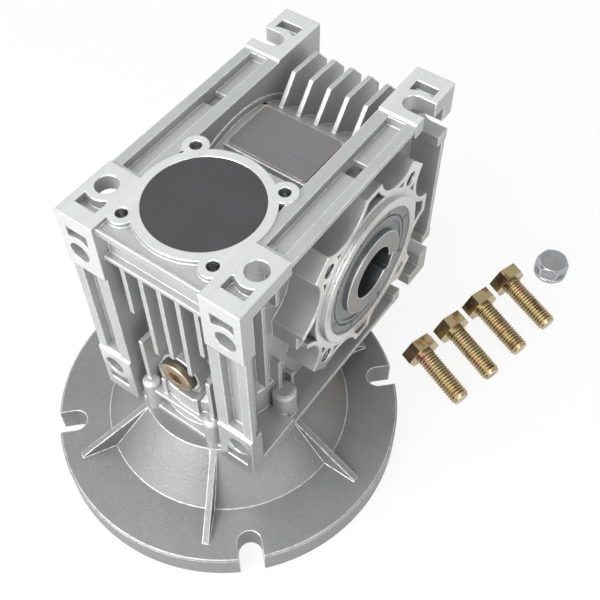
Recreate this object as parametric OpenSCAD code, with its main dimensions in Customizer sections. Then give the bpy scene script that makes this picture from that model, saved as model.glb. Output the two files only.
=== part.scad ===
/* [Housing] */
// Width of the housing across its two side frames
house_w = 85; // [84:1:96]
// Height of the housing along the worm axis
house_h = 120; // [118:1:134]
// Distance from the worm axis to the near face
near_d = 34; // [34:1:40]
// Distance from the output axis to the foot face
foot_d = 60; // [59:1:70]
// Inner edge of the frame bars, measured from the middle plane
bar_in = 24.5; // [24:0.5:26]
// Thickness of the frame bars
bar_t = 2.5; // [2:0.5:4]
// Depth by which bars stay below the machined pads
bar_step = 1; // [0.5:0.5:1.5]
// Thickness of the two side webs
web_t = 3; // [2.5:0.5:4]
// Width of the channel cast into each bar
channel_w = 8; // [6:0.5:9]
// Depth of the channel cast into each bar
channel_d = 4; // [3:0.5:5]

/* [Mounting pads] */
// Length of each pad from its outer edge
pad_len = 30; // [28:1:34]
// Thickness of each pad
pad_t = 7.2; // [6:0.2:8]
// Diameter of the mounting holes and slots
mount_hole_d = 9.5; // [8:0.5:10]
// Distance of the mounting holes from the middle plane
mount_x = 35; // [34:0.5:36]
// Distance of the mounting holes from the housing's edge
mount_in = 20; // [19:0.5:21]
// Length of the pocket between hole and edge
pad_pocket_l = 9; // [7:0.5:10]
// Width of the pocket between hole and edge
pad_pocket_w = 10.5; // [8:0.5:12]
// Depth of the pocket between hole and edge
pad_pocket_deep = 4.4; // [3:0.2:4.6]
// Wall left between hole and pocket
pad_wall = 3.5; // [3:0.5:4]

/* [Gear pair] */
// Axial module of the worm and wheel
gear_module = 0.8; // [0.78:0.01:0.82]
// Number of wheel teeth, one worm start gives this ratio
wheel_teeth = 100; // [98:1:102]
// Pitch diameter of the worm
worm_pitch_d = 20; // [19:0.5:21]
// Width of the bronze wheel rim
rim_w = 20; // [16:1:22]
// Radial thickness of the rim under its teeth
rim_t = 6; // [4:0.5:8]
// Play left between thread and teeth, along the pitch line
backlash = 0.3; // [0.25:0.05:0.4]
// Length of the worm thread
thread_l = 20; // [14:1:26]

/* [Gearcase] */
// Running gap between the wheel's tips and the case
wheel_gap = 2; // [1.5:0.5:3]
// Wall of the round gearcase
case_t = 6; // [5:0.5:7]
// Inner radius of the chamber round the worm
worm_room_r = 16.5; // [15:0.5:17.5]
// Wall of the worm tube
tube_t = 4; // [3:0.5:5]
// Radius of the boss round the input bearing
bell_r = 29.5; // [28.5:0.5:30]

/* [Output side] */
// Bore of the hollow output shaft
out_bore_d = 25; // [24:0.5:26]
// Width of the output keyway
out_key_w = 8; // [7:0.5:9]
// Depth of the output keyway beyond the bore
out_key_d = 3.3; // [3:0.1:3.6]
// Outside diameter of the hollow output shaft
out_shaft_d = 40; // [39:0.5:41]
// Length of the hollow output shaft
out_shaft_l = 92; // [91:0.5:98]
// Outside diameter of the output bearings
out_brg_d = 68; // [67:0.5:69]
// Width of the output bearings
out_brg_w = 15; // [14:0.5:15]
// Outside diameter of the output oil seals
out_seal_d = 62; // [60:0.5:63]
// Width of the output oil seals
out_seal_w = 8; // [7:0.5:8]
// Diameter of the output pilot
pilot_d = 70; // [69:0.5:72]
// Height of the output pilot above its bolting face
pilot_h = 2; // [1.5:0.5:2.5]
// Bolt circle of the output face
out_pcd = 85; // [84:0.5:87]
// Tapping diameter of the output bolts
out_tap_d = 6.8; // [6:0.2:7]
// Depth of the output bolt holes
out_tap_l = 9; // [8:0.5:9]
// Reach of the scalloped face along its two axes
lobe_r = 48; // [47:0.5:49]
// Reach of the scalloped face at its bolt lobes
bolt_lobe_r = 50; // [49:0.5:51]
// Radius of each scallop
scallop_r = 16; // [14:0.5:17]
// Thickness of the scalloped wall
scallop_t = 2.5; // [2:0.5:3]
// Depth of the pockets behind the scalloped wall
scallop_deep = 11; // [8:1:13]

/* [Side cover] */
// Thickness of the side cover
cover_t = 10; // [9.5:0.5:11]
// Outside radius of the side cover
cover_r = 52; // [51.8:0.1:52.3]
// Circle radius of the cover screws
cover_screw_r = 47.2; // [47:0.1:47.4]
// Number of cover screws
cover_screw_n = 8; // [4:4:8]

/* [Worm shaft] */
// Outside diameter of both worm bearings
worm_brg_d = 47; // [46:0.5:48]
// Bore of the input end's bearing
in_journal_d = 25; // [24.5:0.5:26]
// Width of the input end's bearing
in_brg_w = 12; // [11:0.5:13]
// Bore of the rear bearing
rear_journal_d = 20; // [19:0.5:20.5]
// Width of the rear bearing
rear_brg_w = 14; // [13:0.5:15]
// Bore for the motor shaft
in_bore_d = 15.875; // [15:0.125:16.5]
// Length of the bore for the motor shaft
in_bore_l = 52; // [48:1:54]
// Width of the input keyway
in_key_w = 4.76; // [4:0.1:5]
// Depth of the input keyway beyond the bore
in_key_d = 2.2; // [1.8:0.1:2.4]
// Height of the worm shaft's lower end above the motor face
in_end_z = 10; // [8:0.5:12]
// Width of the input oil seal
in_seal_w = 7; // [6:0.5:7]
// Thickness of the circlips
clip_t = 1.75; // [1.5:0.25:2]
// Thickness of the rear cap
cap_t = 6; // [5:0.5:7]

/* [Input flange] */
// Outside diameter of the flange
flange_d = 165.1; // [162:0.5:170]
// Thickness of the flange's rim
flange_t = 14; // [12:0.5:16]
// Height of the cone above the rim
cone_h = 22.5; // [21:0.5:26]
// Radius of the cone at the rim
cone_base_r = 58; // [57:0.5:60]
// Radius of the cone where it meets the housing
cone_top_r = 39.2; // [39:0.2:40]
// Diameter of the recess for the motor's pilot
motor_pilot_d = 114.3; // [112:0.1:115]
// Depth of the recess for the motor's pilot
motor_pilot_h = 4.8; // [4:0.2:6]
// Bolt circle of the motor slots
motor_pcd = 149.2; // [147:0.1:151]
// Width of the motor slots
motor_slot_w = 10.8; // [10.2:0.2:11.4]
// Thickness of the flange's ribs
rib_t = 3; // [2.5:0.5:4]
// Reach of the ribs from the worm axis
rib_r = 74.5; // [72:0.5:76]
// Circle radius of the screws that hold the flange
flange_screw_r = 34.4; // [34:0.1:34.5]

/* [Fins] */
// Spacing of all cooling fins
fin_gap = 9; // [8:0.5:9]
// Thickness of the cooling fins
fin_t = 2; // [1.6:0.2:2.4]
// Distance of the foot fins' tips from the foot face
foot_fin_in = 5.2; // [4:0.2:12]

/* [Plugs and plate] */
// Height of the level plug below the output axis
plug_drop = 22.5; // [21:0.5:24]
// Head diameter of the level plug
plug_head_d = 15.6; // [15:0.2:17]
// Width of the bare plate on the gearcase
plate_w = 38.5; // [34:0.5:39]
// Length of the bare plate along the foot direction
plate_l = 26.5; // [24:0.5:28]
// Thickness of the bare plate
plate_t = 0.8; // [0.6:0.1:1]

/* [Loose motor bolts] */
// Shank diameter of the motor bolts
bolt_d = 10; // [9.4:0.1:10.4]
// Length of the motor bolts under the head
bolt_l = 30; // [25:0.2:32]
// Width across flats of the motor bolts' heads
bolt_af = 17; // [14:0.1:17]

/* [Hidden] */
$fn = 64;

// Gap of seated, non-turning fits, per side
seat_gap = 0.02;
// Gap between a ball and its groove or pocket
ball_gap = 0.15;
// Small overlap that joins two shapes of one casting
weld = 0.5;
// Overshoot of a cut past the face that it opens
over = 1;

// Angles of patterns of four and of six
diagonals = [45:90:315];
sixths = [0:60:300];

wheel_pitch_r = gear_module * wheel_teeth / 2;
worm_pitch_r = worm_pitch_d / 2;
centre_d = wheel_pitch_r + worm_pitch_r;
wheel_tip_r = wheel_pitch_r + gear_module;
wheel_root_r = wheel_pitch_r - 1.2 * gear_module;
rim_in_r = wheel_root_r - rim_t;
worm_tip_r = worm_pitch_r + gear_module;
worm_root_r = worm_pitch_r - 1.2 * gear_module;
pitch_axial = PI * gear_module;
flank_deg = 20;
lead_deg = atan(pitch_axial / (PI * worm_pitch_d));

seat_z = flange_t + cone_h;
top_z = seat_z + house_h;
out_z = seat_z + house_h / 2;
foot_y = centre_d + foot_d;
frame_x = house_w / 2;
face_x = frame_x + 0.5;
web_out = bar_in + web_t;
case_in_r = wheel_tip_r + wheel_gap;
case_r = case_in_r + case_t;
tube_r = worm_room_r + tube_t;
worm_seat_r = worm_brg_d / 2;
ring_r = worm_seat_r + 4;
ring_screw_r = ring_r + 2.5;
channel_in = mount_x - channel_w / 2 - 1;

// Stations of the bearings, seals and circlips
out_seal_x = face_x + 1 - out_seal_w;
out_brg_end = out_seal_x - 0.4;
out_brg_x = out_brg_end - out_brg_w;
case_wall_x = rim_w / 2 + 5;
cover_x = face_x - cover_t;
spigot_l = cover_x - rim_w / 2 - 4;
screw_sink = 5.5;
clip_gap = 0.5;
rear_clip_z = top_z - 0.3 - cap_t - clip_gap - clip_t;
rear_brg_z = rear_clip_z - 0.05 - rear_brg_w;
in_seal_z = seat_z + 0.8;
in_clip_z = in_seal_z + in_seal_w + clip_gap;
in_brg_z = in_clip_z + clip_t + 0.05;
in_brg_end = in_brg_z + in_brg_w;
clip_deep = 1.25;
cap_z = top_z - 0.3 - cap_t;

// O-rings and their grooves
oring_r = 0.88;
oring_deep = 1.8;
oring_w = 2.6;
flange_oring_r = 28;

// Half the thickness of thread and teeth at the pitch line
half_thread = pitch_axial / 4 - backlash / 4;

// The upper and lower bosses of the gearcase stand out this far
boss_up = 1;

// Level plug: depth of its seat behind the near face, height of its axis, its washer and hole
plug_in = 7.1;
plug_z = out_z - plug_drop;
plug_washer_t = 1.2;
plug_washer_r = plug_head_d / 2 + 1;
plug_hole_d = 10;

// Tapped holes for the screws of the flange, of the side cover and round the rear cap
flange_tap_d = 5;
flange_tap_l = 14;
cover_tap_d = 4.2;
cover_tap_l = 10;
ring_tap_d = 5;
ring_tap_l = 12;

// Wall of the flange under the housing, which its screws pass through
flange_wall = 8;

// Height of the bolts' heads
bolt_head_h = 6.4;

module on_output_axis() {
  translate([0, centre_d, out_z]) rotate([90, 0, 90]) children();
}

module mirrored_x() {
  children();
  mirror([1, 0, 0]) children();
}

module mirrored_z() {
  children();
  translate([0, 0, 2 * out_z]) mirror([0, 0, 1]) children();
}

module tube(r_out, r_in, h) {
  difference() {
    cylinder(r = r_out, h = h);
    translate([0, 0, -over]) cylinder(r = r_in, h = h + 2 * over);
  }
}

// Copies at the given angles round the z axis, not turned themselves
module around(radius, angles) {
  for (a = angles) translate(radius * [cos(a), sin(a), 0]) children();
}

// Outline of the pocket in a pad, with rounded corners and a wall left round the hole
module pocket_outline() {
  corner_r = 1.5;
  edge = 5;
  x_mid = mount_x - 1;
  y_mid = edge + pad_pocket_l / 2;
  difference() {
    union() {
      translate([x_mid, y_mid]) square([pad_pocket_w - 2 * corner_r, pad_pocket_l], center = true);
      translate([x_mid, y_mid]) square([pad_pocket_w, pad_pocket_l - 2 * corner_r], center = true);
      for (sx = [-1, 1], sy = [-1, 1])
        translate([x_mid + sx * (pad_pocket_w / 2 - corner_r), y_mid + sy * (pad_pocket_l / 2 - corner_r)])
          circle(r = corner_r, $fn = 32);
    }
    translate([mount_x, mount_in]) circle(r = mount_hole_d / 2 + pad_wall);
  }
}

// Machined pad, drawn with its outer face up and its edge along x
module pad(slotted, holed = true) {
  difference() {
    translate([bar_in, 0, -pad_t]) cube([frame_x - bar_in, pad_len, pad_t]);
    if (holed)
      translate([mount_x, mount_in, -pad_t - over])
        cylinder(d = mount_hole_d, h = pad_t + 2 * over);
    if (slotted)
      translate([mount_x, mount_in - mount_hole_d / 2, -pad_t - over])
        cube([frame_x - mount_x + over, mount_hole_d, pad_t + 2 * over]);
    translate([0, 0, -pad_pocket_deep]) linear_extrude(pad_pocket_deep + over) pocket_outline();
  }
}

// Two pads that meet at right angles make one corner of a side frame
module corner(slotted, holed = true) {
  pad(slotted, holed);
  mirror([0, 1, 1]) pad(slotted);
  translate([bar_in, 0, -pad_t - 6]) cube([web_t, pad_t + 6, pad_t + 6]);
}

// Frame bar with its cast channel, drawn with its outer face up
module bar(length, channel) {
  deep = channel ? channel_d + bar_t : 0;
  difference() {
    union() {
      translate([bar_in, 0, -bar_t - bar_step]) cube([frame_x - bar_in, length, bar_t]);
      if (channel)
        translate([channel_in - 2, 0, -deep - bar_step]) cube([channel_w + 4, length, deep]);
    }
    if (channel)
      translate([channel_in, 2, -channel_d - bar_step])
        cube([channel_w, length - 4, channel_d + over]);
  }
}

module frame_side() {
  rail_l = foot_y + near_d - 2 * pad_len;
  post_l = house_h - 2 * pad_len;
  window_l = 8;
  fill = 5;
  translate([0, -near_d, top_z]) corner(false);
  // The near pads over the motor flange have no hole
  translate([0, -near_d, seat_z]) mirror([0, 0, 1]) corner(false, false);
  translate([0, foot_y, top_z]) mirror([0, 1, 0]) corner(true);
  translate([0, foot_y, seat_z]) mirror([0, 1, 0]) mirror([0, 0, 1]) corner(true);
  difference() {
    translate([0, -near_d + pad_len - weld, top_z]) bar(rail_l + 2 * weld, true);
    translate([channel_in, centre_d - window_l / 2, top_z - 20]) cube([channel_w, window_l, 30]);
  }
  translate([0, -near_d + pad_len - weld, seat_z]) mirror([0, 0, 1]) bar(rail_l + 2 * weld, false);
  translate([0, -near_d, seat_z + pad_len - weld]) rotate([90, 0, 0]) bar(post_l + 2 * weld, true);
  translate([0, foot_y, seat_z + pad_len - weld])
    mirror([0, 1, 0]) rotate([90, 0, 0]) bar(post_l + 2 * weld, false);
  // Side web from the near face to the foot face
  translate([bar_in, -near_d + bar_step, seat_z + bar_step])
    cube([web_t, foot_y + near_d - 2 * bar_step, house_h - 2 * bar_step]);
  // The near pad's top runs on to the ring round the cap
  translate([bar_in - fill + weld, -ring_screw_r / sqrt(2), top_z - fill]) cube([fill, 11, fill]);
}

// Outline of the scalloped output face, smaller by inset all round
module scalloped(inset) {
  reach = lobe_r + 4;
  off = 21;
  difference() {
    intersection() {
      square(2 * (lobe_r - inset), center = true);
      rotate(45) square(2 * (bolt_lobe_r - inset), center = true);
    }
    for (a = [0:90:270], s = [-1, 1])
      rotate(a) translate([reach, s * off]) circle(r = scallop_r + inset);
  }
}

module output_face() {
  boss_r = 6.2;
  on_output_axis() {
    translate([0, 0, web_out - weld]) difference() {
      linear_extrude(face_x - web_out + weld) scalloped(0);
      translate([0, 0, face_x - web_out + weld - scallop_deep])
        linear_extrude(scallop_deep + over) scalloped(scallop_t);
    }
    translate([0, 0, web_out - weld]) cylinder(r = out_pcd / 2 - boss_r + 2.5, h = face_x - web_out + weld);
    around(out_pcd / 2, diagonals) translate([0, 0, web_out - weld])
      cylinder(r = boss_r, h = face_x - web_out + weld);
    cylinder(d = pilot_d, h = face_x + pilot_h);
  }
}

// The wall of the lobe next to the near face stays below the machined face
module near_lobe_cut() {
  low = 3;
  on_output_axis() translate([-lobe_r - over, -7.5, face_x - low])
    cube([scallop_t + 2 * over, 10, low + over]);
}

module output_cuts() {
  on_output_axis() {
    cylinder(d = out_brg_d + 2 * seat_gap, h = out_brg_end + 0.1);
    cylinder(d = out_seal_d + 2 * seat_gap, h = face_x + pilot_h + over);
    around(out_pcd / 2, diagonals) translate([0, 0, face_x - out_tap_l])
      cylinder(d = out_tap_d, h = out_tap_l + over);
  }
}

module gearcase() {
  on_output_axis() {
    translate([0, 0, -cover_x]) cylinder(r = cover_r, h = cover_x - bar_in + weld);
    translate([0, 0, -bar_in]) cylinder(r = case_r, h = 2 * bar_in);
  }
  // Flat bosses above and below the round case, the upper one carries the plate
  mirrored_z() translate([-plate_w / 2 - 1, centre_d - plate_l / 2 - 1, out_z])
    cube([plate_w + 2, plate_l + 2, case_r + boss_up]);
}

module worm_tube() {
  taper_l = 4;
  bell_l = plug_z - plug_washer_r - 0.6 - taper_l - seat_z;
  rear_l = 24;
  rear_taper_l = 8;
  screw_boss_h = 14;
  translate([0, 0, seat_z]) {
    cylinder(r = tube_r, h = house_h);
    cylinder(r = bell_r, h = bell_l);
    translate([0, 0, bell_l]) cylinder(r1 = bell_r, r2 = tube_r, h = taper_l);
  }
  translate([0, 0, top_z - rear_l]) cylinder(r = ring_r, h = rear_l);
  translate([0, 0, top_z - rear_l - rear_taper_l]) cylinder(r1 = tube_r, r2 = ring_r, h = rear_taper_l);
  around(ring_screw_r, diagonals) translate([0, 0, top_z - screw_boss_h])
    cylinder(r = 5.5, h = screw_boss_h);
}

// Round boss on the housing floor, with a rounded rim
module flange_boss(r) {
  boss_h = 18.4;
  translate([0, 0, seat_z]) {
    cylinder(r = r, h = boss_h);
    translate([0, 0, boss_h]) cylinder(r1 = r, r2 = r - 0.5, h = 0.9);
    translate([0, 0, boss_h + 0.9]) cylinder(r1 = r - 0.5, r2 = r - 1.7, h = 0.7);
  }
}

// The bosses take the flange screws, and the two at the sides are thicker
module flange_bosses() {
  around(flange_screw_r, [0, 180]) flange_boss(5.5);
  around(flange_screw_r, [60, 120, 240, 300]) flange_boss(4.1);
}

module housing_floor() {
  floor_t = 2.5;
  intersection() {
    translate([0, 0, seat_z]) cylinder(r = cone_top_r, h = floor_t);
    translate([-web_out, -near_d + 2, seat_z]) cube([2 * web_out, 2 * cone_top_r, floor_t]);
  }
}

// Fins of the near face in two rows, with the level plug between them
module near_fins() {
  lip_y = -near_d + 2;
  tip_y = -near_d + 4;
  wall_y = -near_d + 6;
  rib_t = 2;
  rib_z = top_z - 19.5;
  ledge_z = seat_z + 13.5;
  lug_h = 10.5;
  lug_top = plug_z - 12;
  span = 2 * (bar_in + weld);
  boss_x = flange_screw_r / 2;
  // End of the upper part, start and end of the lower part, from the plug's axis
  ends = [[14.5, -12, -23.5], [9.8, -10.5, -22], [32.5, 11, -21]];
  translate([-span / 2, lip_y, top_z - 4.5]) cube([span, 14, 2.5]);
  translate([-span / 2, lip_y, top_z - 4.5]) cube([span, 1.2, 3.2]);
  translate([-span / 2, lip_y + 1, rib_z]) cube([span, 16, rib_t]);
  translate([-span / 2, wall_y, rib_z]) cube([span, rib_t, top_z - 3 - rib_z]);
  translate([-boss_x, lip_y, ledge_z]) cube([2 * boss_x, 14, rib_t]);
  translate([-fin_t / 2, tip_y, lug_top - lug_h]) cube([fin_gap + fin_t / 2, -tip_y, lug_h]);
  for (i = [-2:2]) {
    e = ends[abs(i)];
    translate([i * fin_gap - fin_t / 2, tip_y, plug_z + e[0]])
      cube([fin_t, -tip_y, rib_z + weld - plug_z - e[0]]);
    translate([i * fin_gap - fin_t / 2, tip_y, plug_z + e[2]]) cube([fin_t, -tip_y, e[1] - e[2]]);
  }
}

// One fin across both side webs, between two heights
module side_fin(i, low, high) {
  reach = frame_x - 10;
  translate([-reach, i * fin_gap - fin_t / 2, low]) cube([2 * reach, fin_t, high - low]);
}

module side_fins() {
  side_fin(-1, seat_z + 33, top_z - pad_len);
  side_fin(0, seat_z + 17, seat_z + 40.4);
  side_fin(0, top_z - 38.4, top_z - 4);
  side_fin(1, seat_z + 2, seat_z + 19.5);
}

module foot_fins() {
  tip = foot_y - foot_fin_in;
  for (i = [-2:2])
    translate([i * fin_gap - fin_t / 2, 0, 0]) rotate([90, 0, 90]) linear_extrude(fin_t)
      polygon([[centre_d + 21, seat_z + 17], [tip - 23.5, seat_z + 4], [tip - 6.5, seat_z + 4.5],
        [tip, seat_z + 12], [tip, top_z - 12], [tip - 6.5, top_z - 4.5], [tip - 23.5, top_z - 4],
        [centre_d + 21, top_z - 17]]);
}

module plug_boss() {
  translate([0, -near_d + plug_in, plug_z]) rotate([-90, 0, 0])
    cylinder(r = plug_washer_r + 1.2, h = near_d - plug_in - worm_room_r + 3);
}

module worm_cuts() {
  room_l = rear_brg_z - in_brg_end;
  translate([0, 0, in_brg_end - weld]) cylinder(r = worm_room_r, h = room_l + 2 * weld);
  translate([0, 0, seat_z - over]) cylinder(r = worm_seat_r + seat_gap, h = in_brg_end - seat_z + over);
  translate([0, 0, rear_brg_z]) cylinder(r = worm_seat_r + seat_gap, h = top_z - rear_brg_z + over);
  for (z = [in_clip_z, rear_clip_z])
    translate([0, 0, z - 0.05]) cylinder(r = worm_seat_r + clip_deep, h = clip_t + 0.1);
  around(ring_screw_r, diagonals) translate([0, 0, top_z - ring_tap_l])
    cylinder(d = ring_tap_d, h = ring_tap_l + over);
  around(flange_screw_r, sixths) translate([0, 0, seat_z - over])
    cylinder(d = flange_tap_d, h = flange_tap_l + over);
  translate([0, -near_d, plug_z]) rotate([-90, 0, 0])
    cylinder(d = plug_hole_d, h = near_d - worm_room_r / 2);
}

module gearcase_cuts() {
  on_output_axis() {
    translate([0, 0, -face_x - over])
      cylinder(r = case_in_r, h = face_x + over + case_wall_x);
    at_cover_screws() translate([0, 0, -cover_x - over])
      cylinder(d = cover_tap_d, h = cover_tap_l + over);
  }
}

module housing() {
  color("silver") difference() {
    union() {
      mirrored_x() frame_side();
      gearcase();
      output_face();
      worm_tube();
      flange_bosses();
      housing_floor();
      near_fins();
      side_fins();
      foot_fins();
      plug_boss();
    }
    worm_cuts();
    gearcase_cuts();
    output_cuts();
    near_lobe_cut();
  }
}

module at_cover_screws() {
  step = 360 / cover_screw_n;
  around(cover_screw_r, [step / 2:step:360]) children();
}

module side_cover() {
  color("silver") on_output_axis() mirror([0, 0, 1]) difference() {
    union() {
      translate([0, 0, cover_x]) cylinder(r = cover_r, h = cover_t);
      translate([0, 0, cover_x - spigot_l]) cylinder(r = case_in_r - seat_gap, h = spigot_l + weld);
      translate([0, 0, cover_x]) cylinder(d = pilot_d, h = face_x - cover_x + pilot_h);
    }
    translate([0, 0, -over]) cylinder(d = out_brg_d + 2 * seat_gap, h = out_brg_end + 0.1 + over);
    translate([0, 0, -over]) cylinder(d = out_seal_d + 2 * seat_gap, h = face_x + pilot_h + 2 * over);
    translate([0, 0, cover_x - spigot_l / 2])
      tube(case_in_r + over, case_in_r - oring_deep, oring_w);
    around(out_pcd / 2, diagonals) translate([0, 0, face_x - out_tap_l])
      cylinder(d = out_tap_d, h = out_tap_l + over);
    at_cover_screws() {
      cylinder(d = 5.4, h = face_x + over);
      translate([0, 0, face_x - screw_sink]) cylinder(d = 9, h = screw_sink + over);
    }
  }
}

// Socket screw, drawn with the seat of its head at z = 0 and its shank above
module socket_screw(d, head_d, head_h, length, key) {
  difference() {
    union() {
      cylinder(d = d, h = length);
      translate([0, 0, -head_h]) cylinder(d = head_d, h = head_h);
    }
    translate([0, 0, -head_h - over]) cylinder(d = key, h = head_h * 0.6 + over, $fn = 6);
  }
}

module cover_screws() {
  color("dimgray") on_output_axis() at_cover_screws() translate([0, 0, screw_sink - face_x])
    socket_screw(d = cover_tap_d - 0.1, head_d = 8.5, head_h = 5, length = cover_t + 1.5, key = 4.6);
}

module cover_oring() {
  color("black") on_output_axis() mirror([0, 0, 1])
    translate([0, 0, cover_x - spigot_l / 2 + oring_w / 2])
      rotate_extrude()
        translate([case_in_r - seat_gap - oring_r, 0]) circle(r = oring_r, $fn = 24);
}

module input_flange() {
  bore_r = in_journal_d / 2 + 3.5;
  cavity_top_r = flange_screw_r + 6.6;
  cavity_low_r = cone_base_r - 8;
  edge = 0.8;
  color("gray") difference() {
    union() {
      rotate_extrude($fn = 96) polygon([
        [motor_pilot_d / 2, 0], [flange_d / 2, 0], [flange_d / 2, flange_t - edge],
        [flange_d / 2 - edge, flange_t], [cone_base_r, flange_t], [cone_top_r, seat_z],
        [bore_r, seat_z], [bore_r, seat_z - flange_wall], [cavity_top_r, seat_z - flange_wall],
        [cavity_low_r, motor_pilot_h], [motor_pilot_d / 2, motor_pilot_h]]);
      for (a = sixths)
        rotate([90, 0, a]) translate([0, 0, -rib_t / 2]) linear_extrude(rib_t)
          polygon([[cone_base_r - 8, flange_t - weld], [rib_r, flange_t - weld],
            [rib_r, flange_t + edge], [cone_top_r, seat_z], [cone_top_r - 1, seat_z]]);
    }
    for (a = diagonals)
      rotate(a) translate([motor_pcd / 2, 0, -over]) {
        cylinder(d = motor_slot_w, h = flange_t + 2 * over);
        translate([0, -motor_slot_w / 2, 0]) cube([rib_r, motor_slot_w, flange_t + 2 * over]);
      }
    around(flange_screw_r, sixths) translate([0, 0, seat_z - flange_wall - over])
      cylinder(d = 6.4, h = flange_wall + 2 * over);
    translate([0, 0, seat_z - oring_deep])
      tube(flange_oring_r + oring_w / 2, flange_oring_r - oring_w / 2, oring_deep + over);
  }
}

module flange_screws() {
  color("dimgray") around(flange_screw_r, sixths) translate([0, 0, seat_z - flange_wall])
    socket_screw(d = flange_tap_d - 0.1, head_d = 10, head_h = 6, length = flange_wall + 12, key = 5.8);
}

module flange_oring() {
  color("black") translate([0, 0, seat_z - oring_r - 0.03])
    rotate_extrude() translate([flange_oring_r, 0]) circle(r = oring_r, $fn = 24);
}

module rear_cap() {
  shell = 2;
  color("#48484b") translate([0, 0, cap_z]) difference() {
    cylinder(r = worm_seat_r, h = cap_t);
    translate([0, 0, -over]) cylinder(r = worm_seat_r - shell, h = cap_t - shell + over);
  }
}

module circlip() {
  r_out = worm_seat_r + clip_deep - 0.1;
  r_in = worm_seat_r - 2.4;
  eye_at = r_in - 0.8;
  eye_r = 2.4;
  eye_deg = 9;
  gap = 2.4;
  difference() {
    union() {
      tube(r_out, r_in, clip_t);
      for (s = [-1, 1]) rotate(s * eye_deg) translate([eye_at, 0, 0]) cylinder(r = eye_r, h = clip_t);
    }
    translate([eye_at - eye_r, -gap / 2, -over]) cube([2 * eye_r + 4, gap, clip_t + 2 * over]);
    for (s = [-1, 1])
      rotate(s * eye_deg) translate([eye_at, 0, -over]) cylinder(r = 1.1, h = clip_t + 2 * over);
  }
}

module worm_circlips() {
  color("darkgray") for (z = [in_clip_z, rear_clip_z]) translate([0, 0, z]) circlip();
}

// Oil seal, drawn with its outer face up
module seal(r_out, r_shaft, width) {
  lip_gap = 0.05;
  lip_t = 1.6;
  ring_in = r_out - 0.45 * (r_out - r_shaft);
  difference() {
    tube(r_out, r_shaft + lip_gap, width);
    translate([0, 0, width - 1]) tube(ring_in + 0.9, ring_in, over + 1);
    translate([0, 0, width - 0.7]) tube(ring_in - lip_t, r_shaft, over + 1);
    for (a = [20:45:335])
      rotate(a) translate([ring_in + 0.5, -0.6, width - 0.8])
        cube([r_out - ring_in - 1.2, 1.2, over + 1]);
    translate([0, 0, -over]) tube(r_out - 2, r_shaft + lip_t, width - 2 + over);
  }
}

module input_seal() {
  color("#5a5b5e") translate([0, 0, in_seal_z + in_seal_w]) mirror([0, 0, 1])
    seal(worm_seat_r, in_journal_d / 2, in_seal_w);
}

module output_seals() {
  color("#5a5b5e") mirrored_x() on_output_axis() translate([0, 0, out_seal_x])
    seal(out_seal_d / 2, out_shaft_d / 2, out_seal_w);
}

// Each bearing is given as [outside diameter, bore, width]
rear_brg = [worm_brg_d, rear_journal_d, rear_brg_w];
input_brg = [worm_brg_d, in_journal_d, in_brg_w];
output_brg = [out_brg_d, out_shaft_d, out_brg_w];
function ball_r(b) = 0.145 * (b[0] - b[1]);
function ball_pitch_r(b) = (b[0] + b[1]) / 4;
function ball_count(b) = floor(2 * PI * ball_pitch_r(b) / (3.4 * ball_r(b)));

module race_groove(b) {
  translate([0, 0, b[2] / 2]) rotate_extrude()
    translate([ball_pitch_r(b), 0]) circle(r = ball_r(b) + ball_gap, $fn = 32);
}

module outer_ring(b) {
  color("lightsteelblue") difference() {
    tube(b[0] / 2, ball_pitch_r(b) + ball_r(b) / 2, b[2]);
    race_groove(b);
  }
}

module inner_ring(b) {
  color("lightsteelblue") difference() {
    tube(ball_pitch_r(b) - ball_r(b) / 2, b[1] / 2 + seat_gap, b[2]);
    race_groove(b);
  }
}

module at_balls(b) {
  count = ball_count(b);
  for (i = [0:count - 1])
    rotate(i * 360 / count) translate([ball_pitch_r(b), 0, b[2] / 2]) children();
}

module ball_cage(b) {
  half_t = 0.3 * ball_r(b);
  tall = 2 * ball_r(b) + 2.4;
  color("goldenrod") difference() {
    translate([0, 0, (b[2] - tall) / 2])
      tube(ball_pitch_r(b) + half_t, ball_pitch_r(b) - half_t, tall);
    at_balls(b) rotate([0, 90, 0])
      cylinder(r = ball_r(b) + ball_gap, h = 4 * half_t, center = true);
  }
}

module balls(b) {
  color("white") at_balls(b) sphere(r = ball_r(b));
}

module at_rear_bearing() {
  translate([0, 0, rear_brg_z]) children();
}

module at_input_bearing() {
  translate([0, 0, in_brg_z]) children();
}

module at_case_bearing() {
  on_output_axis() translate([0, 0, out_brg_x]) children();
}

module at_cover_bearing() {
  mirror([1, 0, 0]) at_case_bearing() children();
}

// Place of the level plug, drawn with its head up and its washer's seat at z = 0
module at_plug() {
  translate([0, -near_d + plug_in, plug_z]) rotate([90, 0, 0]) children();
}

module level_plug() {
  head_h = 2.6;
  bevel = 0.5;
  stem_l = 8;
  key_d = 7.6;
  key_deep = 3.2;
  color("#c8b878") at_plug() difference() {
    union() {
      translate([0, 0, plug_washer_t]) cylinder(d = plug_head_d, h = head_h - bevel);
      translate([0, 0, plug_washer_t + head_h - bevel])
        cylinder(d1 = plug_head_d, d2 = plug_head_d - 2 * bevel, h = bevel);
      translate([0, 0, -stem_l])
        cylinder(d = plug_hole_d - 0.1, h = stem_l + plug_washer_t + weld);
    }
    translate([0, 0, plug_washer_t + head_h - key_deep])
      cylinder(d = key_d, h = key_deep + over, $fn = 6);
  }
}

module plug_washer() {
  color("#2b2b2d") at_plug() tube(plug_washer_r, 5, plug_washer_t - 0.02);
}

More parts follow.
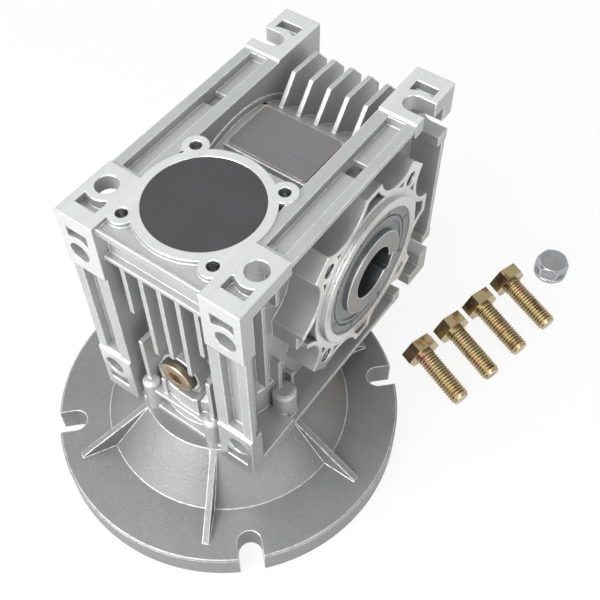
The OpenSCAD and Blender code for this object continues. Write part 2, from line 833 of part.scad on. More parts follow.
module plate() {
  corner_r = 2;
  color("#77787b") translate([0, centre_d, out_z + case_r + boss_up]) linear_extrude(plate_t) {
    square([plate_w - 2 * corner_r, plate_l], center = true);
    square([plate_w, plate_l - 2 * corner_r], center = true);
    for (sx = [-1, 1], sy = [-1, 1])
      translate([sx * (plate_w / 2 - corner_r), sy * (plate_l / 2 - corner_r)]) circle(r = corner_r);
  }
}

// Radius of the worm's thread at an axial distance s from the middle of its crest
function thread_r(s) =
  max(worm_root_r, min(worm_tip_r, worm_pitch_r + (half_thread - abs(s)) / tan(flank_deg)));

module worm_thread() {
  crest = half_thread - (worm_tip_r - worm_pitch_r) * tan(flank_deg);
  foot = half_thread + (worm_pitch_r - worm_root_r) * tan(flank_deg);
  half_turn = pitch_axial / 2;
  turns = thread_l / pitch_axial;
  right = [crest / 2, crest, (2 * crest + foot) / 3, (crest + 2 * foot) / 3, foot, (foot + half_turn) / 2];
  marks = concat([0], right, [half_turn], [for (i = [5:-1:0]) -right[i]]);
  translate([0, 0, out_z - thread_l / 2]) rotate(90 - turns * 180)
    linear_extrude(thread_l, twist = -360 * turns, slices = ceil(turns * 12), segments = 14)
      polygon([for (s = marks) let (a = s * 360 / pitch_axial) thread_r(s) * [cos(a), sin(a)]]);
}

module worm_shaft() {
  core_r = worm_root_r - 0.5;
  journal_r = in_journal_d / 2;
  rear_r = rear_journal_d / 2;
  straight_end = in_end_z + in_bore_l + 4;
  taper_end = out_z - thread_l / 2 - 5;
  key_stop = 4;
  color("slategray") difference() {
    union() {
      worm_thread();
      translate([0, 0, in_end_z]) cylinder(r = journal_r, h = straight_end - in_end_z);
      translate([0, 0, in_brg_end + seat_gap]) cylinder(r = journal_r + 2, h = 3);
      translate([0, 0, straight_end]) cylinder(r1 = journal_r, r2 = core_r, h = taper_end - straight_end);
      translate([0, 0, taper_end - weld]) cylinder(r = core_r, h = rear_brg_z - 2 - taper_end);
      translate([0, 0, rear_brg_z - seat_gap - 5]) cylinder(r = rear_r + 3, h = 5);
      translate([0, 0, rear_brg_z - weld]) cylinder(r = rear_r, h = rear_brg_w + 2 * weld);
    }
    translate([0, 0, in_end_z - over]) cylinder(d = in_bore_d, h = in_bore_l + over);
    translate([0, -in_key_w / 2, in_end_z - over])
      cube([in_bore_d / 2 + in_key_d, in_key_w, in_bore_l - key_stop + over]);
  }
}

module output_shaft() {
  hub_r = 24;
  hub_x = out_brg_x - seat_gap;
  web_half = 6;
  key_deg = -22;
  color("slategray") on_output_axis() difference() {
    union() {
      translate([0, 0, -out_shaft_l / 2]) cylinder(d = out_shaft_d, h = out_shaft_l);
      translate([0, 0, -hub_x]) cylinder(r = hub_r, h = 2 * hub_x);
      translate([0, 0, -web_half]) cylinder(r = rim_in_r - 3, h = 2 * web_half);
      translate([0, 0, -rim_w / 2]) tube(rim_in_r - seat_gap, rim_in_r - 4, rim_w);
    }
    translate([0, 0, -out_shaft_l / 2 - over]) cylinder(d = out_bore_d, h = out_shaft_l + 2 * over);
    rotate(key_deg) translate([0, -out_key_w / 2, -out_shaft_l / 2 - over])
      cube([out_bore_d / 2 + out_key_d, out_key_w, out_shaft_l + 2 * over]);
  }
}

// Point at radius r and at distance s round its circle from the angle a
function round_point(r, s, a) = let (b = a + s / r * 180 / PI) r * [cos(b), sin(b)];

module wheel_rim() {
  tip_half = half_thread - gear_module * tan(flank_deg);
  root_half = half_thread + (wheel_pitch_r - wheel_root_r) * tan(flank_deg);
  skew = rim_w * tan(lead_deg) / wheel_pitch_r * 180 / PI;
  corners = [[wheel_root_r, -root_half], [wheel_tip_r, -tip_half], [wheel_tip_r, tip_half],
    [wheel_root_r, root_half]];
  color("#b08d57") on_output_axis() difference() {
    translate([0, 0, -rim_w / 2]) rotate(180 - skew / 2)
      linear_extrude(rim_w, twist = -skew, slices = 2)
        polygon([for (i = [0:wheel_teeth - 1], c = corners)
          round_point(c[0], c[1], (i + 0.5) * 360 / wheel_teeth)]);
    translate([0, 0, -rim_w / 2 - over]) cylinder(r = rim_in_r, h = rim_w + 2 * over, $fn = 96);
  }
}

// Hexagon bolt, drawn with the seat of its head at z = 0 and a ridged shank above
module motor_bolt() {
  ridge = 1.5875;
  core_r = bolt_d / 2 - 0.8;
  plain_l = 2;
  ridges = floor((bolt_l - plain_l) / ridge);
  cylinder(r = core_r, h = bolt_l);
  cylinder(r = core_r + 0.6, h = plain_l);
  for (i = [0:ridges - 1])
    translate([0, 0, plain_l + i * ridge]) {
      cylinder(r1 = core_r, r2 = bolt_d / 2, h = ridge / 2);
      translate([0, 0, ridge / 2]) cylinder(r1 = bolt_d / 2, r2 = core_r, h = ridge / 2);
    }
  translate([0, 0, -bolt_head_h]) cylinder(d = bolt_af / cos(30), h = bolt_head_h, $fn = 6);
}

// The four motor bolts lie beside the reducer on the plane of the motor face
module motor_bolts() {
  seats = [[63.8, 80.8], [69.4, 102.5], [74, 124.5], [78.5, 147.2]];
  heading = -19.2;
  tilt = asin((bolt_af - bolt_d) / 2 / bolt_l);
  color("#c9b26b") for (p = seats)
    translate([p[0], p[1], bolt_af / 2 + 0.1]) rotate([0, 90 + tilt, heading]) rotate(30) motor_bolt();
}

// The vent plug stands beside the bolts on its flange, its tapped hole underneath
module vent_plug() {
  flange_r = 9;
  top_r = 7.6;
  head_af = 15.6;
  color("#b9babc") translate([90.4, 174.9, 0]) difference() {
    union() {
      cylinder(r = flange_r, h = 1.5);
      intersection() {
        rotate(12) cylinder(d = head_af / cos(30), h = 9.5, $fn = 6);
        union() {
          cylinder(r = flange_r, h = 8.2);
          translate([0, 0, 8.2]) cylinder(r1 = flange_r, r2 = top_r, h = 1.3);
        }
      }
    }
    translate([0, 0, -over]) cylinder(d = 8.4, h = 6.5 + over);
  }
}

housing();
side_cover();
cover_screws();
cover_oring();
input_flange();
flange_screws();
flange_oring();
rear_cap();
worm_circlips();
input_seal();
output_seals();
at_rear_bearing() outer_ring(rear_brg);  // rear_outer_ring
at_input_bearing() outer_ring(input_brg);  // input_outer_ring
at_cover_bearing() outer_ring(output_brg);  // output_outer_ring_cover
at_case_bearing() outer_ring(output_brg);  // output_outer_ring_case
level_plug();
plug_washer();
plate();
worm_shaft();
at_rear_bearing() inner_ring(rear_brg);  // rear_inner_ring
at_input_bearing() inner_ring(input_brg);  // input_inner_ring
output_shaft();
wheel_rim();
at_cover_bearing() inner_ring(output_brg);  // output_inner_ring_cover
at_case_bearing() inner_ring(output_brg);  // output_inner_ring_case
at_rear_bearing() ball_cage(rear_brg);  // rear_ball_cage
at_input_bearing() ball_cage(input_brg);  // input_ball_cage
at_cover_bearing() ball_cage(output_brg);  // output_ball_cage_cover
at_case_bearing() ball_cage(output_brg);  // output_ball_cage_case
at_rear_bearing() balls(rear_brg);  // rear_balls
at_input_bearing() balls(input_brg);  // input_balls
at_cover_bearing() balls(output_brg);  // output_balls_cover
at_case_bearing() balls(output_brg);  // output_balls_case
motor_bolts();
vent_plug();
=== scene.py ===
import math
import bpy
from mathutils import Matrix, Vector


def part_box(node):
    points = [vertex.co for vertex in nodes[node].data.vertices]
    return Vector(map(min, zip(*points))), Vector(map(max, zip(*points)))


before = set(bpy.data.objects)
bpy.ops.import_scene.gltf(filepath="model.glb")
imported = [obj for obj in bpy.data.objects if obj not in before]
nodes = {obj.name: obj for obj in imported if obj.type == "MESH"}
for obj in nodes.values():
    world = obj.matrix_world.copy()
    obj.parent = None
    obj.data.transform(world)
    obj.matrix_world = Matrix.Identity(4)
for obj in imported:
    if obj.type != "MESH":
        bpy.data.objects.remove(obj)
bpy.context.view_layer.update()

# Housing and side cover
# Both are die-cast aluminium with a pebbled silver skin, and their edges are painted bright, partly as
# rubbed wear and partly as a painted highlight.
# Pads, the ring round the cap and the plug's seat are milled, the output faces are turned.


def node(tree, kind, inputs=None, **settings):
    """A shader node with its settings. Each input is a value, or a socket to link from."""
    made = tree.nodes.new(kind)
    for key, value in settings.items():
        setattr(made, key, value)
    for key, value in (inputs or {}).items():
        if isinstance(value, bpy.types.NodeSocket):
            tree.links.new(value, made.inputs[key])
        else:
            made.inputs[key].default_value = value
    return made


def maths(tree, operation, a, b=0.0, c=0.0, clamp=False):
    """The value socket of one calculation."""
    return node(tree, "ShaderNodeMath", {0: a, 1: b, 2: c}, operation=operation, use_clamp=clamp).outputs[0]


def mixed(tree, factor, a, b):
    """The colour socket of a blend from a to b."""
    return node(tree, "ShaderNodeMix", {0: factor, 6: a, 7: b}, data_type="RGBA").outputs[2]


def between(tree, factor, low, high):
    """A value that runs from low to high as factor runs from 0 to 1."""
    return maths(tree, "MULTIPLY_ADD", factor, high - low, low)


def noise(tree, place, scale, detail):
    """The value socket of a noise with this many grains to the metre."""
    return node(tree, "ShaderNodeTexNoise", {"Vector": place, "Scale": scale, "Detail": detail}).outputs[0]


def away_from(tree, value, centre):
    """How far a value lies from a centre."""
    return maths(tree, "ABSOLUTE", maths(tree, "SUBTRACT", value, centre))


def across(tree, a, b):
    """The length of two sides at right angles."""
    squares = maths(tree, "ADD", maths(tree, "MULTIPLY", a, a), maths(tree, "MULTIPLY", b, b))
    return maths(tree, "SQRT", squares)


def bumped(tree, height, normal, strength, distance):
    """The normal socket of a bump."""
    return node(tree, "ShaderNodeBump", {"Height": height, "Normal": normal, "Strength": strength,
                                         "Distance": distance}).outputs[0]


def grey(value, tint=0.0):
    """A grey, a little blue where tint is over 0."""
    return (value * (1 - tint), value, value * (1 + tint), 1)


def start_group(name, inputs, outputs):
    """An empty shader group with number sockets of these names and defaults."""
    tree = bpy.data.node_groups.new(name, "ShaderNodeTree")
    for socket, default in inputs.items():
        made = tree.interface.new_socket(socket, in_out="INPUT", socket_type="NodeSocketFloat")
        made.default_value = default
    for socket, kind in outputs.items():
        tree.interface.new_socket(socket, in_out="OUTPUT", socket_type="NodeSocket" + kind)
    place = node(tree, "ShaderNodeTexCoord").outputs["Object"]
    return tree, tree.nodes.new("NodeGroupInput").outputs, tree.nodes.new("NodeGroupOutput").inputs, place


def start_material(name):
    """An empty material, its tree, its Principled node and the piece's own coordinates."""
    material = bpy.data.materials.new(name)
    material.use_nodes = True
    tree = material.node_tree
    place = node(tree, "ShaderNodeTexCoord").outputs["Object"]
    return material, tree, tree.nodes["Principled BSDF"], place


def finish_material(tree, shader, base, rough, normal, metallic):
    """Joins the finished sockets to the Principled node."""
    tree.links.new(base, shader.inputs["Base Color"])
    tree.links.new(rough, shader.inputs["Roughness"])
    tree.links.new(normal, shader.inputs["Normal"])
    if isinstance(metallic, bpy.types.NodeSocket):
        tree.links.new(metallic, shader.inputs["Metallic"])
    else:
        shader.inputs["Metallic"].default_value = metallic


def dress(material, *names):
    """Gives CAD nodes their material."""
    for name in names:
        nodes[name].data.materials.clear()
        nodes[name].data.materials.append(material)


# An edge is where the rounded normal leaves the flat one. The mask lightens edges, partly as wear and
# partly as a painted highlight. Noise breaks the bright line up.
wear_and_sheen, wear_and_sheen_in, wear_and_sheen_out, place = start_group(
    "Edge wear and sheen", {"Width": 0.0006, "Amount": 1.0, "Patches": 1.0}, {"Mask": "Float", "Normal": "Vector"})
rounded = node(wear_and_sheen, "ShaderNodeBevel", {"Radius": wear_and_sheen_in["Width"]}, samples=6).outputs[0]
flat = node(wear_and_sheen, "ShaderNodeNewGeometry").outputs["Normal"]
turn = node(wear_and_sheen, "ShaderNodeVectorMath", {0: rounded, 1: flat}, operation="DOT_PRODUCT").outputs["Value"]
edge = maths(wear_and_sheen, "MULTIPLY", maths(wear_and_sheen, "SUBTRACT", 1.0, turn), 14.0, clamp=True)
gaps = maths(wear_and_sheen, "MULTIPLY_ADD", noise(wear_and_sheen, place, 420.0, 3.0), -2.2, 1.35, clamp=True)
patchy = maths(wear_and_sheen, "SUBTRACT", 1.0, maths(wear_and_sheen, "MULTIPLY", gaps, wear_and_sheen_in["Patches"]))
edge = maths(wear_and_sheen, "MULTIPLY", maths(wear_and_sheen, "MULTIPLY", edge, patchy), wear_and_sheen_in["Amount"], clamp=True)
wear_and_sheen.links.new(edge, wear_and_sheen_out["Mask"])
wear_and_sheen.links.new(rounded, wear_and_sheen_out["Normal"])

# Painted shade: an ambient occlusion mask darkens grooves, thread roots and inner corners.
grooves, grooves_in, grooves_out, place = start_group("Painted groove shade", {"Width": 0.0015}, {"Mask": "Float"})
open_sky = node(grooves, "ShaderNodeAmbientOcclusion", {"Distance": grooves_in["Width"]},
                samples=6, only_local=True).outputs["AO"]
closed = maths(grooves, "SUBTRACT", 1.0, open_sky)
grooves.links.new(maths(grooves, "MULTIPLY_ADD", closed, 2.2, -0.4, clamp=True), grooves_out["Mask"])

# The cast skin has pebbles and slow changes of tone, and its fine bright specks are painted glints.
skin, skin_in, skin_out, place = start_group(
    "Cast skin", {"Grain": 1300.0}, {"Height": "Float", "Tone": "Float", "Painted glints": "Float"})
pebbles = noise(skin, place, skin_in["Grain"], 3.0)
fine = noise(skin, place, 2600.0, 2.0)
tone = maths(skin, "MULTIPLY", pebbles, 0.35)
tone = maths(skin, "MULTIPLY_ADD", noise(skin, place, 38.0, 5.0), 0.65, tone)
skin.links.new(maths(skin, "MULTIPLY_ADD", fine, 0.35, pebbles), skin_out["Height"])
skin.links.new(maths(skin, "MULTIPLY_ADD", tone, 2.0, -0.5, clamp=True), skin_out["Tone"])
skin.links.new(maths(skin, "MULTIPLY_ADD", noise(skin, place, 1100.0, 1.0), 9.0, -6.1, clamp=True),
               skin_out["Painted glints"])

# A milling cutter leaves fine slanting lines, some deeper than others.
marks, marks_in, marks_out, place = start_group("Milling marks", {"Lines": 2000.0}, {"Height": "Float"})
slant = node(marks, "ShaderNodeMapping", {"Vector": place, "Rotation": (0.5, 0.6, 0.75),
                                          "Scale": (1.0, 0.03, 1.0)}).outputs[0]
lines = maths(marks, "MULTIPLY", noise(marks, slant, marks_in["Lines"], 3.0), 0.5)
lines = maths(marks, "MULTIPLY_ADD", noise(marks, slant, 240.0, 2.0), 0.5, lines)
marks.links.new(lines, marks_out["Height"])

# A lathe leaves rings. Reach is the distance from the axis plus the distance along it.
rings, rings_in, rings_out, place = start_group("Turning rings", {"Reach": 0.0}, {"Height": "Float"})
fine = node(rings, "ShaderNodeTexNoise", {"W": rings_in["Reach"], "Scale": 1500.0, "Detail": 2.0},
            noise_dimensions="1D").outputs[0]
wide = node(rings, "ShaderNodeTexNoise", {"W": rings_in["Reach"], "Scale": 350.0, "Detail": 2.0},
            noise_dimensions="1D").outputs[0]
fine = maths(rings, "MULTIPLY", fine, 0.5)
rings.links.new(maths(rings, "MULTIPLY_ADD", wide, 0.5, fine), rings_out["Height"])


def tapped(tree, along, a, b, hole_r, pitch):
    """Height of the thread in a tapped hole, and where it shows. a and b are taken from its axis."""
    round_axis = maths(tree, "DIVIDE", maths(tree, "ARCTAN2", b, a), 2 * math.pi)
    turns = maths(tree, "ADD", maths(tree, "DIVIDE", along, pitch), round_axis)
    height = maths(tree, "PINGPONG", turns, 0.5)
    return height, maths(tree, "LESS_THAN", across(tree, a, b), hole_r + skim)


low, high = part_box("housing")
high_z = high.z
output_y, output_z = 0.05, 0.0965
output_face_x = high.x - 0.0022
plug_z, plug_seat_y, plug_seat_r = 0.074, -0.0269, 0.0105
skim = 0.0003
ring_hole = 0.030 / math.sqrt(2)
ring_tap_r, ring_tap_pitch, ring_tap_floor = 0.0025, 0.001, 0.134
side_hole = 0.0425 / math.sqrt(2)
side_tap_r, side_tap_pitch, side_tap_floor = 0.0034, 0.00125, 0.034


def cast_metal(name, dark, light, rough, grain, relief, machined, piece):
    """Cast metal between two greys, for a piece whose milled planes are given as (axis, sign, place)."""
    material, tree, shader, place = start_material(name)
    x, y, z = node(tree, "ShaderNodeSeparateXYZ", {0: place}).outputs
    cut = 0.0
    for axis, sign, at in machined:
        past = maths(tree, "GREATER_THAN", maths(tree, "MULTIPLY", (x, y, z)[axis], sign), at)
        cut = maths(tree, "MAXIMUM", past, cut)
    cast = node(tree, "ShaderNodeGroup", {"Grain": grain}, node_tree=skin).outputs
    worn_and_sheen = node(tree, "ShaderNodeGroup", {"Width": 0.0008}, node_tree=wear_and_sheen).outputs
    wear_and_sheen_mask = worn_and_sheen["Mask"]
    milled = node(tree, "ShaderNodeGroup", node_tree=marks).outputs["Height"]
    painted_corner_shade = node(tree, "ShaderNodeGroup", {"Width": 0.0025}, node_tree=grooves).outputs["Mask"]
    base = mixed(tree, cast["Tone"], grey(dark), grey(light))
    # Painted glints: fine specks lighten the base towards near white.
    base = mixed(tree, maths(tree, "MULTIPLY", cast["Painted glints"], 0.2), base, grey(0.9))
    # Painted shade: inner corners and grooves of the casting are darkened.
    base = mixed(tree, maths(tree, "MULTIPLY", painted_corner_shade, 0.4), base, grey(dark * 0.35))
    milled_tone = mixed(tree, milled, grey(0.7), grey(1.0))
    if piece == "housing":
        seat = maths(tree, "LESS_THAN", across(tree, x, away_from(tree, z, plug_z)), plug_seat_r)
        seat = maths(tree, "MULTIPLY", seat, maths(tree, "COMPARE", y, plug_seat_y, 0.0002))
        turned = maths(tree, "GREATER_THAN", maths(tree, "ABSOLUTE", x), output_face_x)
        off_y = maths(tree, "SUBTRACT", y, output_y)
        off_z = maths(tree, "SUBTRACT", z, output_z)
        reach = maths(tree, "ADD", across(tree, off_y, off_z), x)
        turning = node(tree, "ShaderNodeGroup", {"Reach": reach}, node_tree=rings).outputs["Height"]
        milled = node(tree, "ShaderNodeMix", {0: turned, 2: milled, 3: turning}).outputs[0]
        cut = maths(tree, "MAXIMUM", cut, maths(tree, "MAXIMUM", turned, seat))
        milled_tone = mixed(tree, maths(tree, "MULTIPLY", turned, 0.7), milled_tone, grey(0.62))
        wear_and_sheen_mask = maths(tree, "MULTIPLY", wear_and_sheen_mask, between(tree, turned, 1.0, 0.3))
        # Painted shade: milled faces darken towards their inner corners.
        milled_tone = mixed(tree, maths(tree, "MULTIPLY", painted_corner_shade, 0.7), milled_tone, grey(0.12))
        off_hole_x = maths(tree, "SUBTRACT", maths(tree, "ABSOLUTE", x), ring_hole)
        off_hole_y = maths(tree, "SUBTRACT", maths(tree, "ABSOLUTE", y), ring_hole)
        ring_high, shown = tapped(tree, z, off_hole_x, off_hole_y, ring_tap_r, ring_tap_pitch)
        shown = maths(tree, "MULTIPLY", shown, maths(tree, "GREATER_THAN", z, ring_tap_floor))
        shown = maths(tree, "MULTIPLY", shown, maths(tree, "LESS_THAN", z, high_z - skim))
        off_hole_y = maths(tree, "SUBTRACT", maths(tree, "ABSOLUTE", off_y), side_hole)
        off_hole_z = maths(tree, "SUBTRACT", maths(tree, "ABSOLUTE", off_z), side_hole)
        side_high, side_shown = tapped(tree, x, off_hole_y, off_hole_z, side_tap_r, side_tap_pitch)
        side_shown = maths(tree, "MULTIPLY", side_shown,
                           maths(tree, "GREATER_THAN", maths(tree, "ABSOLUTE", x), side_tap_floor))
        side_shown = maths(tree, "MULTIPLY", side_shown,
                           maths(tree, "LESS_THAN", maths(tree, "ABSOLUTE", x), output_face_x - skim))
        thread = maths(tree, "ADD", maths(tree, "MULTIPLY", ring_high, shown),
                       maths(tree, "MULTIPLY", side_high, side_shown))
        in_hole = maths(tree, "MAXIMUM", shown, side_shown)
        cut = maths(tree, "MAXIMUM", cut, in_hole)
        # Painted shade: the thread roots in the tapped holes are painted dark.
        thread_shade_tone = mixed(tree, maths(tree, "MULTIPLY", thread, 2.0), grey(0.12), grey(0.85))
        milled_tone = mixed(tree, in_hole, milled_tone, thread_shade_tone)
    base = mixed(tree, cut, base, milled_tone)
    # Edges painted near white: partly wear, partly painted highlight.
    base = mixed(tree, wear_and_sheen_mask, base, grey(0.98))
    shine = between(tree, cast["Tone"], rough, rough + 0.1)
    shine = maths(tree, "SUBTRACT", shine, maths(tree, "MULTIPLY", cut, rough - 0.24))
    shine = maths(tree, "SUBTRACT", shine, maths(tree, "MULTIPLY", wear_and_sheen_mask, 0.12))
    rough_cast = maths(tree, "MULTIPLY", cast["Height"], maths(tree, "SUBTRACT", 1.0, cut))
    if piece == "flange":
        facing = node(tree, "ShaderNodeNewGeometry").outputs["True Normal"]
        level = node(tree, "ShaderNodeSeparateXYZ", {0: facing}).outputs[2]
        level = maths(tree, "GREATER_THAN", level, 0.98)
        rough_cast = maths(tree, "MULTIPLY", rough_cast, between(tree, level, 1.0, 0.35))
    normal = bumped(tree, rough_cast, worn_and_sheen["Normal"], relief, 0.0003)
    relief_cut = maths(tree, "MULTIPLY", milled, cut)
    if piece == "housing":
        relief_cut = maths(tree, "MULTIPLY", relief_cut, between(tree, turned, 1.0, 0.25))
    normal = bumped(tree, relief_cut, normal, 0.08, 0.0001)
    if piece == "housing":
        normal = bumped(tree, thread, normal, 0.8, 0.0004)
    finish_material(tree, shader, base, shine, normal, between(tree, cut, 0.55, 0.95))
    return material


pads = [(2, 1, high.z - skim), (2, -1, skim - low.z), (1, -1, -low.y - skim), (1, 1, high.y - skim)]
dress(cast_metal("Housing casting", 0.41, 0.52, 0.4, 1300.0, 0.3, pads, "housing"), "housing", "side_cover")

# Input flange
# A second casting with a coarser skin, smoother where it lies level. Its underside is turned.
dress(cast_metal("Flange casting", 0.2, 0.27, 0.4, 900.0, 0.8, [(2, -1, -skim)], "flange"), "input_flange")

# Shafts, circlips and vent plug
# Ground or turned steel with a clouded tone, a fine grain and bright edges.


def turned_metal(name, dark, light, rough, tint=0.0, edge_tone=0.95):
    """Turned or ground steel between two greys."""
    material, tree, shader, place = start_material(name)
    worn_and_sheen = node(tree, "ShaderNodeGroup", {"Width": 0.0007, "Patches": 0.5}, node_tree=wear_and_sheen).outputs
    cloud = noise(tree, place, 160.0, 4.0)
    fine = noise(tree, place, 2400.0, 2.0)
    base = mixed(tree, cloud, grey(dark, tint), grey(light, tint))
    base = mixed(tree, worn_and_sheen["Mask"], base, grey(edge_tone))
    normal = bumped(tree, fine, worn_and_sheen["Normal"], 0.08, 0.0001)
    finish_material(tree, shader, base, between(tree, fine, rough, rough + 0.14), normal, 1.0)
    return material


dress(turned_metal("Ground steel", 0.3, 0.42, 0.26, 0.03), "worm_shaft", "output_shaft", "worm_circlips")
dress(turned_metal("Bright zinc", 0.28, 0.44, 0.2, 0.02), "vent_plug")

# Bearings
# Rings and balls are polished bearing steel, the cages are pressed brass.
dress(turned_metal("Bearing steel", 0.62, 0.74, 0.12, 0.02),
      *[name for name in nodes if "_ring" in name or "balls" in name])


def warm_metal(name, tones, rough, cloud_scale):
    """Yellow metal whose colour drifts between the given tones."""
    material, tree, shader, place = start_material(name)
    worn_and_sheen = node(tree, "ShaderNodeGroup", {"Width": 0.00025, "Amount": 0.6, "Patches": 0.2},
                node_tree=wear_and_sheen).outputs
    fine = noise(tree, place, 3000.0, 2.0)
    drift = node(tree, "ShaderNodeValToRGB", {0: noise(tree, place, cloud_scale, 2.0)})
    ramp = drift.color_ramp
    for i, tone in enumerate(tones):
        at = 0.34 + 0.32 * i / (len(tones) - 1)
        stop = ramp.elements[i] if i < 2 else ramp.elements.new(at)
        stop.position = at
        stop.color = (*tone, 1)
    # Painted shade: thread roots and grooves are darkened by an occlusion mask.
    painted_root_shade = node(tree, "ShaderNodeGroup", node_tree=grooves).outputs["Mask"]
    painted_shade_tone = (*[part * 0.25 for part in tones[0]], 1)
    base = mixed(tree, maths(tree, "MULTIPLY", painted_root_shade, 0.85), drift.outputs[0], painted_shade_tone)
    rubbed_and_sheen = maths(tree, "MULTIPLY", worn_and_sheen["Mask"], maths(tree, "SUBTRACT", 1.0, painted_root_shade))
    # Rubbed edges painted pale: partly wear, partly painted highlight.
    base = mixed(tree, rubbed_and_sheen, base, (0.85, 0.74, 0.54, 1))
    normal = bumped(tree, fine, worn_and_sheen["Normal"], 0.08, 0.0001)
    finish_material(tree, shader, base, between(tree, fine, rough, rough + 0.12), normal, 1.0)
    return material


dress(warm_metal("Cage brass", [(0.6, 0.42, 0.16), (0.7, 0.52, 0.22), (0.64, 0.46, 0.2)], 0.3, 160.0),
      *[name for name in nodes if name.endswith("_cage") or "_cage_" in name])

# Wheel rim
# Cast bronze, pressed on the steel hub, with its teeth cut after that.
dress(warm_metal("Bronze", [(0.5, 0.3, 0.12), (0.62, 0.4, 0.18), (0.56, 0.34, 0.14)], 0.28, 120.0),
      "wheel_rim")

# Socket screws
# Black oxide steel with paler edges, for the side cover and inside the flange.
dress(turned_metal("Black oxide", 0.03, 0.06, 0.34, 0.0, 0.22), "cover_screws", "flange_screws")

# Seals, O-rings, plug washer and rear cap
# All are moulded rubber. The seals are mid grey, the cap is matt and nearly black.


def rubber(name, dark, light, rough, grain):
    """Matt moulded rubber with an orange-peel skin and a dusting of lighter patches."""
    material, tree, shader, place = start_material(name)
    worn_and_sheen = node(tree, "ShaderNodeGroup", {"Width": 0.0003, "Amount": 0.4}, node_tree=wear_and_sheen).outputs
    dust = noise(tree, place, 70.0, 6.0)
    settled = maths(tree, "MULTIPLY_ADD", dust, 1.6, -0.3, clamp=True)
    base = mixed(tree, settled, grey(dark, 0.02), grey(light, 0.02))
    base = mixed(tree, worn_and_sheen["Mask"], base, grey(light * 1.6))
    normal = bumped(tree, noise(tree, place, grain, 3.0), worn_and_sheen["Normal"], 0.2, 0.0002)
    finish_material(tree, shader, base, between(tree, dust, rough, rough + 0.15), normal, 0.0)
    return material


dress(rubber("Seal rubber", 0.21, 0.27, 0.42, 1800.0), "output_seals", "input_seal")
dress(rubber("Ring rubber", 0.015, 0.025, 0.4, 1500.0), "cover_oring", "flange_oring", "plug_washer")
dress(rubber("Cap rubber", 0.032, 0.05, 0.45, 1600.0), "rear_cap")

# Level plug
# A turned plug with a hexagon socket, plated pale yellow.
plug_tones = [(0.46, 0.36, 0.24), (0.6, 0.51, 0.38), (0.52, 0.39, 0.27)]
dress(warm_metal("Pale yellow zinc", plug_tones, 0.26, 180.0), "level_plug")

# Plate
# A bare metal plate with brushed lines, a tan border and empty ruled lines.
material, tree, shader, place = start_material("Bare plate")
x, y, z = node(tree, "ShaderNodeSeparateXYZ", {0: place}).outputs
brush = node(tree, "ShaderNodeMapping", {"Vector": place, "Scale": (40.0, 2400.0, 1.0)}).outputs[0]
brushed = noise(tree, brush, 1.0, 3.0)
low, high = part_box("plate")
middle = (low + high) / 2
rim = maths(tree, "MAXIMUM",
            maths(tree, "SUBTRACT", away_from(tree, x, middle.x), (high.x - low.x) / 2),
            maths(tree, "SUBTRACT", away_from(tree, y, middle.y), (high.y - low.y) / 2))
border = maths(tree, "COMPARE", rim, -0.0013, 0.00022)
row = maths(tree, "FRACT", maths(tree, "DIVIDE", maths(tree, "SUBTRACT", y, middle.y), 0.0048))
ruled = maths(tree, "COMPARE", row, 0.5, 0.035)
ruled = maths(tree, "MULTIPLY", ruled, maths(tree, "LESS_THAN", rim, -0.003))
line = maths(tree, "MULTIPLY", maths(tree, "MAXIMUM", border, ruled), 0.7)
base = mixed(tree, line, mixed(tree, brushed, grey(0.19, 0.03), grey(0.28, 0.03)), (0.36, 0.22, 0.12, 1))
worn_and_sheen = node(tree, "ShaderNodeGroup", {"Width": 0.0003}, node_tree=wear_and_sheen).outputs
base = mixed(tree, worn_and_sheen["Mask"], base, grey(0.8))
normal = bumped(tree, brushed, worn_and_sheen["Normal"], 0.1, 0.0001)
finish_material(tree, shader, base, between(tree, brushed, 0.34, 0.46), normal, 0.8)
dress(material, "plate")

# Motor bolts
# Hexagon bolts in yellow zinc, whose plating drifts from gold to green and pink.
bolt_tones = [(0.20, 0.13, 0.07), (0.48, 0.34, 0.18), (0.40, 0.37, 0.2), (0.52, 0.32, 0.22)]
dress(warm_metal("Yellow zinc", bolt_tones, 0.2, 130.0), "motor_bolts")

# Floor and backdrop
# Plain and pale. Camera, glossy and transmission rays see white with a trace of the contact shadow.


def sees_white(tree):
    """1 for the rays that see the white background."""
    ray = node(tree, "ShaderNodeLightPath").outputs
    return maths(tree, "MAXIMUM", maths(tree, "MAXIMUM", ray["Is Camera Ray"], ray["Is Glossy Ray"]),
                 ray["Is Transmission Ray"])


reach = 6.0
floor_z = -0.0002
floor_mesh = bpy.data.meshes.new("floor")
floor_mesh.from_pydata([(-reach, -reach, floor_z), (reach, -reach, floor_z), (reach, reach, floor_z),
                        (-reach, reach, floor_z)], [], [(0, 1, 2, 3)])
floor = bpy.data.objects.new("floor", floor_mesh)
bpy.context.scene.collection.objects.link(floor)
pale = bpy.data.materials.new("Pale floor")
pale.use_nodes = True
tree = pale.node_tree
tree.nodes.clear()
plain = node(tree, "ShaderNodeBsdfDiffuse", {"Color": grey(0.78)}).outputs[0]
white = node(tree, "ShaderNodeEmission", {"Color": grey(1.0), "Strength": 1.0}).outputs[0]
whiteness = maths(tree, "MULTIPLY", sees_white(tree), 0.88)
shown = node(tree, "ShaderNodeMixShader", {0: whiteness, 1: plain, 2: white})
node(tree, "ShaderNodeOutputMaterial", {"Surface": shown.outputs[0]})
floor_mesh.materials.append(pale)

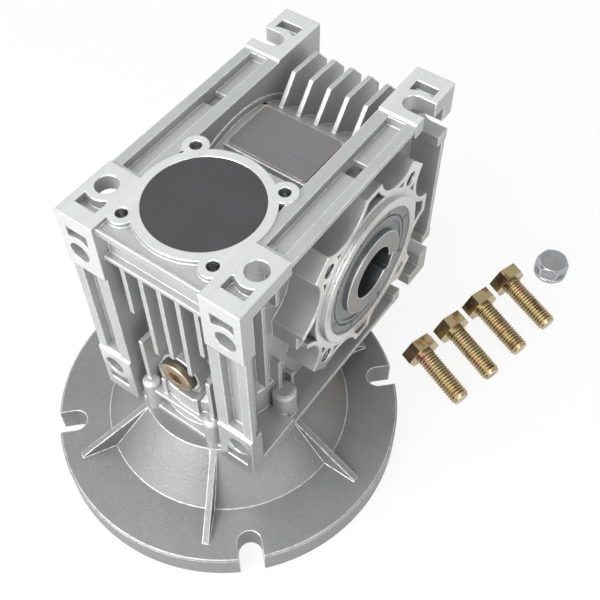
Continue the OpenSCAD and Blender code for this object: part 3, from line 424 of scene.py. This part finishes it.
# World
# A soft grey room, brighter overhead and on the left, whose background shows white.
scene = bpy.context.scene
scene.world = bpy.data.worlds.new("Studio")
scene.world.use_nodes = True
tree = scene.world.node_tree
tree.nodes.clear()
way = node(tree, "ShaderNodeTexCoord").outputs["Generated"]
way = node(tree, "ShaderNodeSeparateXYZ", {0: way}).outputs
glow = maths(tree, "MULTIPLY", between(tree, way["Z"], 0.45, 0.68), between(tree, way["X"], 1.0, 0.7))
room = node(tree, "ShaderNodeBackground", {"Color": grey(0.95, 0.01), "Strength": glow})
white = node(tree, "ShaderNodeBackground", {"Color": grey(1.0), "Strength": 1.0})
ray = node(tree, "ShaderNodeLightPath").outputs
shiny = maths(tree, "MULTIPLY", ray["Is Glossy Ray"], 0.5)
direct = maths(tree, "MAXIMUM", ray["Is Camera Ray"], ray["Is Transmission Ray"])
shown = maths(tree, "MAXIMUM", direct, shiny)
shown = node(tree, "ShaderNodeMixShader", {0: shown, 1: room.outputs[0], 2: white.outputs[0]})
node(tree, "ShaderNodeOutputWorld", {"Surface": shown.outputs[0]})

# Lights
# A large softbox overhead, one in front and one low on the right.
target = (0.0, 0.03, 0.09)
for name, place, size, power in [
        ("overhead", (-0.15, -0.55, 1.15), 0.8, 9.5),
        ("front", (-0.15, -0.95, 0.5), 1.0, 11.0),
        ("right", (1.0, -0.3, 0.3), 0.6, 2.6)]:
    lamp = bpy.data.lights.new(name, "AREA")
    lamp.size = size
    lamp.energy = power
    holder = bpy.data.objects.new(name, lamp)
    holder.location = place
    aim = [t - p for t, p in zip(target, place)]
    flat_reach = math.hypot(aim[0], aim[1])
    holder.rotation_euler = (math.atan2(flat_reach, -aim[2]), 0, math.atan2(aim[0], -aim[1]) + math.pi)
    scene.collection.objects.link(holder)

# Camera
# The photograph's viewpoint: from above the near right corner, close in.
lens = bpy.data.cameras.new("camera")
lens.lens = 54.61
lens.sensor_width = 36
camera = bpy.data.objects.new("camera", lens)
camera.location = (0.1595, -0.1622, 0.4042)
camera.rotation_euler = [math.radians(a) for a in (36.079, 0.124, 35.497)]
scene.collection.objects.link(camera)
scene.camera = camera
scene.view_settings.view_transform = "Standard"
